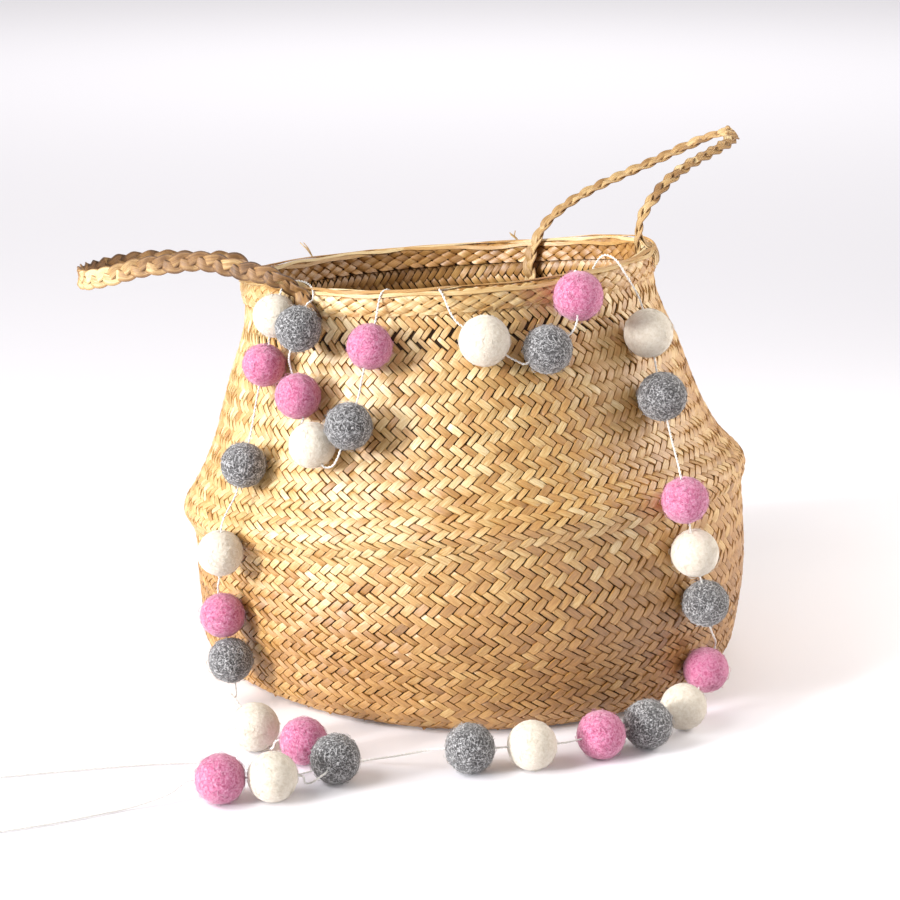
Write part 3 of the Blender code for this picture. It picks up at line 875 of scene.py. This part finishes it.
def add_ribbons(name, rings, rng, material=None):
    """Flat straws as one piece. rings is counted by straw, point, corner and axis."""
    count, length, _, _ = rings.shape
    step = np.linalg.norm(rings[0, 1, 0] - rings[0, 0, 0]) / (2 * MM)
    across = np.array((0.9, -0.9, -0.9, 0.9)) + rng.uniform(0, 40, (count, 1, 1))
    along = np.arange(length)[None, :, None] * step
    tone = rng.normal(0.62, 0.12, (count, 1, 1))
    mesh = patches(name, rings, closed=True, across=across, along=along, tone=tone)
    mesh.set_sharp_from_angle(angle=math.radians(50))
    return add_piece(name, mesh, material or STRAW)


def make_base():
    """The flat woven base, seen from below and from inside."""
    u, v = np.meshgrid(np.arange(-26, 27), np.arange(-34, 35), indexing="ij")
    falling = v % 2 == 1
    u = u + 0.5 * falling
    row = math.sqrt(FLOAT_LENGTH**2 - BASE_PITCH**2)
    far = np.hypot(u * BASE_PITCH, v * row)
    for name, reach, height, side in (
        ("base_outside", UNDERSIDE_FROM + 4 * MM, UNDERSIDE_LIFT + 0.5 * MM, -1),
        ("base_inside", 137 * MM, WALL_THICKNESS, 1),
    ):
        kept = far < reach

        def place(here_u, here_v, off, height=height, side=side):
            flat = np.broadcast_arrays(here_u * BASE_PITCH, here_v * row, height + side * off)
            return soften(np.stack(flat, axis=-1), np.arctan2(flat[1], flat[0]), 0.0)

        places = (u - v)[kept], (u + v)[kept], falling[kept]
        rng = np.random.default_rng(31)
        # Painted shade on the base, below it and inside
        floats(name, places, COARSE_GRID, place, rng, shade=INSIDE_PAINTED_SHADE)


# Routes


def smooth_route(points, starts, ends, segments):
    """Points along a smooth curve through these points, as the solids have them."""
    tangents = []
    for i in range(len(points)):
        before = points[max(i - 1, 0)]
        after = points[min(i + 1, len(points) - 1)]
        tangents.append((after - before).normalized())
    if starts is not None:
        tangents[0] = starts
    if ends is not None:
        tangents[-1] = ends
    route = [points[0]]
    for i in range(len(points) - 1):
        chord = points[i + 1] - points[i]
        slopes = tangents[i] * chord.length, tangents[i + 1] * chord.length
        count = max(1, round(segments(chord, tangents[i], tangents[i + 1])))
        for k in range(1, count + 1):
            route.append(hermite(points[i], points[i + 1], *slopes, k / count))
    return route


def by_fine_steps(chord, *_):
    return chord.length / (0.8 * MM)


def way_points(passed):
    """The places of WAYS between two balls, in metres."""
    points = []
    for kind, *place in WAYS.get(passed, ()):
        if kind == "free":
            points.append(Vector(place) * MM)
            continue
        bearing, height, off = place
        radius = wall_radius(height * MM) + off * MM
        points.append(Vector(slump(around(math.radians(bearing), radius, height * MM))))
    return points


def ball_places():
    """Each ball's centre, from its solid, and its radius."""
    centres, radii = [], []
    diameters = [d for row in BALL_DIAMETERS for d in row]
    for i, diameter in enumerate(diameters):
        low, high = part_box(f"ball_{i + 1:02d}")
        radius = diameter / 2 * MM
        height = (low.z + high.z) / 2 if low.z > 0.5 * MM else radius - FLOOR_FLAT
        centres.append(Vector(((low.x + high.x) / 2, (low.y + high.y) / 2, height)))
        radii.append(radius)
    return centres, radii


def hole_directions(centres, radii):
    """The way the string runs through each ball, led by whichever neighbour is nearer."""
    directions = []
    for i, centre in enumerate(centres):
        before = way_points(i)
        after = way_points(i + 1)
        inward = centre - (before[-1] if before else centres[i - 1])
        outward = (after[0] if after else centres[i + 1]) - centre
        room_in = inward.length - radii[i] - (0 if before else radii[i - 1])
        room_out = outward.length - radii[i] - (0 if after else radii[i + 1])
        mixed = inward.normalized() / room_in**2 + outward.normalized() / room_out**2
        directions.append(mixed.normalized())
    return directions


def string_route(centres, radii, directions, segments):
    """The middle of the string from one free end to the other, straight inside each ball."""
    reaches = [heading * (radius + HOLE_LEAD) for radius, heading in zip(radii, directions)]
    route = []
    for i in range(len(centres) + 1):
        points = way_points(i)
        leaving = directions[i - 1] if i > 0 else None
        entering = directions[i] if i < len(centres) else None
        if leaving is not None:
            points.insert(0, centres[i - 1] + reaches[i - 1])
        if entering is not None:
            points.append(centres[i] - reaches[i])
        if len(points) == 2 and (points[1] - points[0]).dot(leaving) < GAP:
            route.append((points[0] + points[1]) / 2)
            continue
        route += smooth_route(points, leaving, entering, segments)
    return route


def even_steps(route, step):
    """Points at even steps along a route, as an array."""
    points = np.array([tuple(point) for point in route])
    along = np.concatenate(((0.0,), np.cumsum(np.linalg.norm(np.diff(points, axis=0), axis=1))))
    wanted = np.linspace(0, along[-1], max(2, round(along[-1] / step)) + 1)
    return np.stack([np.interp(wanted, along, points[:, k]) for k in range(3)], axis=1)


def unit(vectors):
    return vectors / np.maximum(np.linalg.norm(vectors, axis=-1, keepdims=True), 1e-12)


def carried_frames(path, first):
    """Two directions across a path at each of its points, carried along it without twist."""
    tangents = unit(np.gradient(path, axis=0))
    sides = np.empty_like(path)
    side = np.asarray(first, float)
    for i, tangent in enumerate(tangents):
        side = side - tangent * side.dot(tangent)
        side = side / np.linalg.norm(side)
        sides[i] = side
    return sides, np.cross(tangents, sides)


# The string


def string_material():
    """White cotton twine, a little fuzzy."""
    made, nodes, links, shader = new_material("white_twine")
    place = nodes.new("ShaderNodeTexCoord")
    noise = nodes.new("ShaderNodeTexNoise")
    noise.inputs["Scale"].default_value = 1500.0
    noise.inputs["Detail"].default_value = 2.0
    links.new(place.outputs["Object"], noise.inputs["Vector"])
    ramp = value_ramp(nodes, ((0.3, (0.72, 0.7, 0.66)), (0.65, (0.92, 0.91, 0.88))))
    links.new(noise.outputs["Fac"], ramp.inputs["Fac"])
    links.new(ramp.outputs["Color"], shader.inputs["Base Color"])
    shader.inputs["Roughness"].default_value = 0.8
    shader.inputs["Sheen Weight"].default_value = 0.3
    return made


def make_string(route):
    """Two twisted plies along the route, as one piece of twine."""
    path = even_steps(route, 0.85 * MM)
    side, other = carried_frames(path, (0, 0, 1))
    turn = 2 * np.pi * np.arange(len(path)) * 0.85 / PLY_PITCH
    sides = 2 * np.pi * np.arange(4) / 4
    plies = []
    for ply in (0, np.pi):
        spin = turn + ply
        middle = path + PLY_OFFSET * (np.cos(spin)[:, None] * side + np.sin(spin)[:, None] * other)
        ring = [
            middle + PLY_RADIUS * (np.cos(t + spin)[:, None] * side + np.sin(t + spin)[:, None] * other)
            for t in sides
        ]
        plies.append(np.stack(ring, axis=1))
    mesh = patches("string_twine", np.stack(plies), closed=True)
    piece = add_piece("string_twine", mesh, string_material())
    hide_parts("string")


# The felt balls

# Each colour's tones, the size and tangle of its pattern, and how many loose fibres a ball has
FELTS = (
    (
        "pink",
        ((0.34, (0.36, 0.055, 0.14)), (0.48, (0.53, 0.15, 0.275)), (0.77, (0.72, 0.39, 0.54))),
        760.0,
        1.0,
        300,
    ),
    (
        "cream",
        ((0.3, (0.6, 0.525, 0.415)), (0.5, (0.675, 0.61, 0.51)), (0.8, (0.77, 0.72, 0.63))),
        700.0,
        0.6,
        160,
    ),
    (
        "grey",
        ((0.37, (0.03, 0.028, 0.028)), (0.53, (0.13, 0.126, 0.128)), (0.69, (0.65, 0.645, 0.65))),
        980.0,
        0.8,
        520,
    ),
)


def ball_surface(directions, radius, rng):
    """A lumpy felted ball's surface: how far out it is in each direction."""
    waves = rng.normal(0, 1, (10, 3))
    phases = rng.uniform(0, 2 * np.pi, 10)
    lumps = np.zeros(len(directions))
    for i, (wave, phase) in enumerate(zip(waves, phases)):
        lumps += np.sin(directions @ wave * (2.0 + 0.9 * i) + phase) / (1.5 + i)
    return radius * (1 + 0.006 * lumps)


def ball_fibres(count, centre, radius, rng, length, lift, thickness):
    """Fine curved fibres that lie on a ball, as thin three-sided tubes, grid by grid."""
    start = unit(rng.normal(0, 1, (count, 3)))
    heading = unit(np.cross(start, rng.normal(0, 1, (count, 3))))
    other = np.cross(start, heading)
    t = np.linspace(-0.5, 0.5, 4)
    sweep = rng.uniform(0.6, 1.3, (count, 1)) * length / radius * t
    bend = rng.uniform(-0.8, 0.8, (count, 1)) * sweep**2 * 2.5
    reach = 1 - (2 * t) ** 2
    out = radius + (0.1 + rng.uniform(0, 1, (count, 1)) ** 4) * reach * lift - 0.12 * MM * (1 - reach)
    direction = (
        start[:, None] * np.cos(sweep)[..., None]
        + heading[:, None] * np.sin(sweep)[..., None]
        + other[:, None] * bend[..., None]
    )
    direction = unit(direction)
    middle = np.asarray(centre) + direction * out[..., None]
    tangent = unit(np.gradient(middle, axis=1))
    across = unit(np.cross(tangent, direction))
    width = thickness * (0.35 + 0.65 * reach)[None, :, None]
    ring = []
    for k in range(3):
        turn = 2 * np.pi * (k + 0.25) / 3
        ring.append(middle + width / 2 * (np.cos(turn) * across + np.sin(turn) * direction))
    return np.stack(ring, axis=2)


def make_ball(i, centre, radius, heading, materials):
    """One felted ball, dimpled where the string runs through it, with its own fibres."""
    rng = np.random.default_rng(300 + i)
    colour, material, count = materials[i % 3]
    bpy.ops.mesh.primitive_ico_sphere_add(subdivisions=5, radius=1.0)
    piece = bpy.context.object
    bpy.context.collection.objects.unlink(piece)
    bpy.context.scene.collection.objects.link(piece)
    mesh = piece.data
    flat = np.empty(len(mesh.vertices) * 3, np.float32)
    mesh.vertices.foreach_get("co", flat)
    directions = unit(flat.reshape(-1, 3).astype(float))
    out = ball_surface(directions, radius, rng)
    axis = np.array(heading)
    from_axis = np.linalg.norm(np.cross(directions, axis), axis=1) * radius
    out -= 0.7 * MM * np.exp(-((from_axis / (1.3 * MM)) ** 2))
    out += rng.normal(0, 0.05 * MM, len(out))
    points = np.array(centre) + directions * out[:, None]
    points[:, 2] = np.maximum(points[:, 2], 0.0)
    mesh.vertices.foreach_set("co", points.astype(np.float32).ravel())
    tone = mesh.attributes.new("tone", "FLOAT", "POINT")
    tone.data.foreach_set("value", np.zeros(len(points), np.float32))
    mesh.shade_smooth()
    mesh.materials.append(material)
    piece.name = f"felt_{i + 1:02d}_{colour}"
    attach(piece, "root")
    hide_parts(f"ball_{i + 1:02d}")
    fibres = ball_fibres(count, centre, radius, rng, 5.0 * MM, 1.3 * MM, 0.2 * MM)
    fibres[..., 2] = np.maximum(fibres[..., 2], 0.05 * MM)
    tones = rng.uniform(-0.05, 0.3, count)[:, None, None]
    fuzz = patches(f"fibres_{i + 1:02d}", fibres, closed=True, tone=tones)
    add_piece(f"fibres_{i + 1:02d}", fuzz, material)


def make_balls(centres, radii, directions):
    materials = []
    for colour, stops, scale, tangled, fibres in FELTS:
        materials.append((colour, felt_material(f"{colour}_wool", stops, scale, tangled), fibres))
    for i, centre in enumerate(centres):
        make_ball(i, centre, radii[i], directions[i], materials)


# The plaited handles


def root_points(side, places):
    """The middle of a plait's end where it lies against the rim, from its tip up."""
    points = []
    for bearing, height in places:
        off = PLAIT_THICKNESS / 2 + GAP
        off = off if side > 0 else -off - wall_thickness(height * MM)
        points.append(Vector(wall_point(bearing, height * MM) + wall_normal(bearing, height * MM) * off))
    return points


def wall_point(bearing, height):
    return slump(around(np.radians(bearing), wall_radius(height), height))


def wall_normal(bearing, height):
    step = 0.1 * MM
    low = min(max(height, step), RIM_HEIGHT - step)
    along = wall_point(bearing + 0.1, height) - wall_point(bearing - 0.1, height)
    up = wall_point(bearing, low + step) - wall_point(bearing, low - step)
    return unit(np.cross(along, up))


def plait_frame(roots, middle, flat):
    """A handle's path at even steps, with the directions of its width and its thickness."""
    ends = [root_points(*root) for root in roots]
    free = [Vector(point) * MM for point in middle]
    path = even_steps(smooth_route(ends[0] + free + ends[1][::-1], None, None, by_fine_steps), 1.1 * MM)
    tangents = unit(np.gradient(path, axis=0))
    share = np.linspace(0, 1, len(path))
    sides = []
    for _, places in roots:
        turn = math.radians(places[-1][0])
        side = np.array((-math.sin(turn), math.cos(turn), 0))
        sides.append(side if side.dot(flat) >= 0 else -side)
    first = smooth(share / PLAIT_TURN)[:, None]
    last = smooth((1 - share) / PLAIT_TURN)[:, None]
    wide = (sides[0] * (1 - first) + np.array(flat) * first) * last + sides[1] * (1 - last)
    wide = unit(wide - tangents * (wide * tangents).sum(axis=1, keepdims=True))
    return path, wide, np.cross(tangents, wide)


def strand(path, wide, thick, phase, pitch, step, size):
    """One strand of a plait: its ridged rings of points, one for each point of the path."""
    turn = 2 * np.pi * (np.arange(len(path)) * step / pitch + phase)
    swing = np.arcsin(STRAND_STRAIGHT * np.sin(turn)) / math.asin(STRAND_STRAIGHT)
    across = STRAND_SWING * swing[:, None] * size
    depth = STRAND_DEPTH * np.sin(2 * turn)[:, None] * size
    middle = path + across * wide + depth * thick
    tangents = unit(np.gradient(middle, axis=0))
    roll = 0.3 * np.sin(turn)[:, None]
    side = unit(wide * np.cos(roll) - thick * np.sin(roll))
    side = unit(side - tangents * (side * tangents).sum(axis=1, keepdims=True))
    face = np.cross(tangents, side)
    ring = []
    for k in range(STRAND_SIDES):
        t = 2 * np.pi * k / STRAND_SIDES
        wide_reach = math.copysign(abs(math.cos(t)) ** 0.7, math.cos(t))
        flat_reach = math.copysign(abs(math.sin(t)) ** 0.4, math.sin(t)) * (1 - 0.2 * (k % 2))
        ring.append(
            middle
            + side * size * STRAND_WIDTH / 2 * wide_reach
            + face * size * STRAND_THICKNESS / 2 * flat_reach
        )
    return np.stack(ring, axis=1)


def make_handle(name, node, roots, middle, flat, seed, size, narrow, tone, key_lit_paleness):
    """A plaited handle. narrow is how much of its size goes at its tip, and the last argument how much
    paler the stretch that the key lights is painted, as painted light.
    """
    rng = np.random.default_rng(seed)
    path, wide, thick = plait_frame(roots, middle, flat)
    from_tip = np.arange(len(path)) - np.argmax(np.hypot(path[:, 0], path[:, 1]))
    size = size * (1 - narrow * np.exp(-((from_tip * 1.1 * MM / TIP_REACH) ** 2)))[:, None]
    strands = [strand(path, wide, thick, k / 3, PLAIT_PERIOD, 1.1 * MM, size) for k in range(3)]
    along = np.arange(len(path))[None, :, None] * 0.35
    across = np.arange(STRAND_SIDES)[None, None, :] * 1.7
    edge = np.abs(np.cos(2 * np.pi * np.arange(STRAND_SIDES) / STRAND_SIDES)) ** 6
    leaves = np.arange(len(path)) * 1.1 * MM / (PLAIT_PERIOD / 2)
    shades = rng.normal(0, 0.13, (3, int(leaves[-1]) + 2))
    # Painted light: the stretch of the handle that the key lights is painted paler
    from_key_lit = (np.linspace(0, 1, len(path)) - KEY_LIT_MIDDLE) / KEY_LIT_WIDTH
    key_lit_paint = key_lit_paleness * np.exp(-(from_key_lit**2))[None, :, None]
    # Painted shade darkens each strand's side edges, where it tucks under the next
    tone = tone + key_lit_paint + 0.1 * np.sin(across * 5.1) - 0.3 * edge[None, None, :]
    tone = tone + shades[:, (leaves + 0.5).astype(int), None]
    mesh = patches(name, np.stack(strands), closed=True, along=along, across=across, tone=tone)
    mesh.set_sharp_from_angle(angle=math.radians(50))
    piece = add_piece(name, mesh, PLAITED)
    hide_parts(node)
    return piece


# The room: a pale floor that glows a little, the lights and an even pale surrounding


def make_stage():
    bpy.ops.mesh.primitive_plane_add(size=30.0, location=(0, 0, -0.0002))
    floor = bpy.context.object
    floor.name = "floor"
    made, nodes, links, shader = new_material("pale_floor")
    shader.inputs["Base Color"].default_value = (0.86, 0.85, 0.89, 1.0)
    shader.inputs["Roughness"].default_value = 1.0
    shader.inputs["Specular IOR Level"].default_value = 0.0
    shader.inputs["Emission Color"].default_value = (0.97, 0.95, 1.0, 1.0)
    shader.inputs["Emission Strength"].default_value = FLOOR_GLOW
    floor.data.materials.append(made)
    world = bpy.data.worlds.new("surrounding")
    bpy.context.scene.world = world
    world.use_nodes = True
    sky = world.node_tree.nodes["Background"]
    sky.inputs["Color"].default_value = (1.0, 0.955, 0.92, 1.0)
    sky.inputs["Strength"].default_value = WORLD_STRENGTH
    key = bpy.data.lights.new("key", "SUN")
    key.energy = KEY_STRENGTH
    key.angle = math.radians(KEY_ANGLE)
    key.color = (0.98, 0.985, 1.0)
    hang_light(key, KEY_FROM, MIDDLE)
    for name, place, target, size, power, colour in SOFT_LIGHTS:
        soft = bpy.data.lights.new(name, "AREA")
        soft.color = colour
        soft.shape = "DISK"
        soft.size = size
        soft.energy = power
        hang_light(soft, place, target)


def hang_light(light, place, target):
    """A light at this place that shines at target."""
    lamp = bpy.data.objects.new(light.name, light)
    bpy.context.scene.collection.objects.link(lamp)
    lamp.location = place
    lamp.rotation_euler = (Vector(place) - Vector(target)).to_track_quat("Z", "Y").to_euler()
    lamp.visible_camera = False


def make_camera():
    data = bpy.data.cameras.new("camera")
    data.sensor_width = SENSOR
    data.lens = CAMERA_LENS
    camera = bpy.data.objects.new("camera", data)
    camera.location = CAMERA_AT
    camera.rotation_euler = (math.radians(90 - CAMERA_DOWN), 0, 0)
    bpy.context.scene.collection.objects.link(camera)
    bpy.context.scene.camera = camera


def main():
    scene = bpy.context.scene
    scene.view_settings.view_transform = "Standard"
    make_camera()
    centres, radii = ball_places()
    directions = hole_directions(centres, radii)
    make_string(string_route(centres, radii, directions, by_fine_steps))
    make_wall()
    make_rim()
    make_base()
    make_handle("plait_left", "handle_left", LEFT_ROOTS, LEFT_PLAIT, (0, 0, 1), 41, 1.0, 0.0, 0.36, 0.45)
    backward = tuple(Vector((-0.3, 0.9, 0.3)).normalized())
    make_handle("plait_right", "handle_right", RIGHT_ROOTS, RIGHT_PLAIT, backward, 42, 0.82, 0.45, 0.6, 0.0)
    make_balls(centres, radii, directions)
    make_stage()


main()
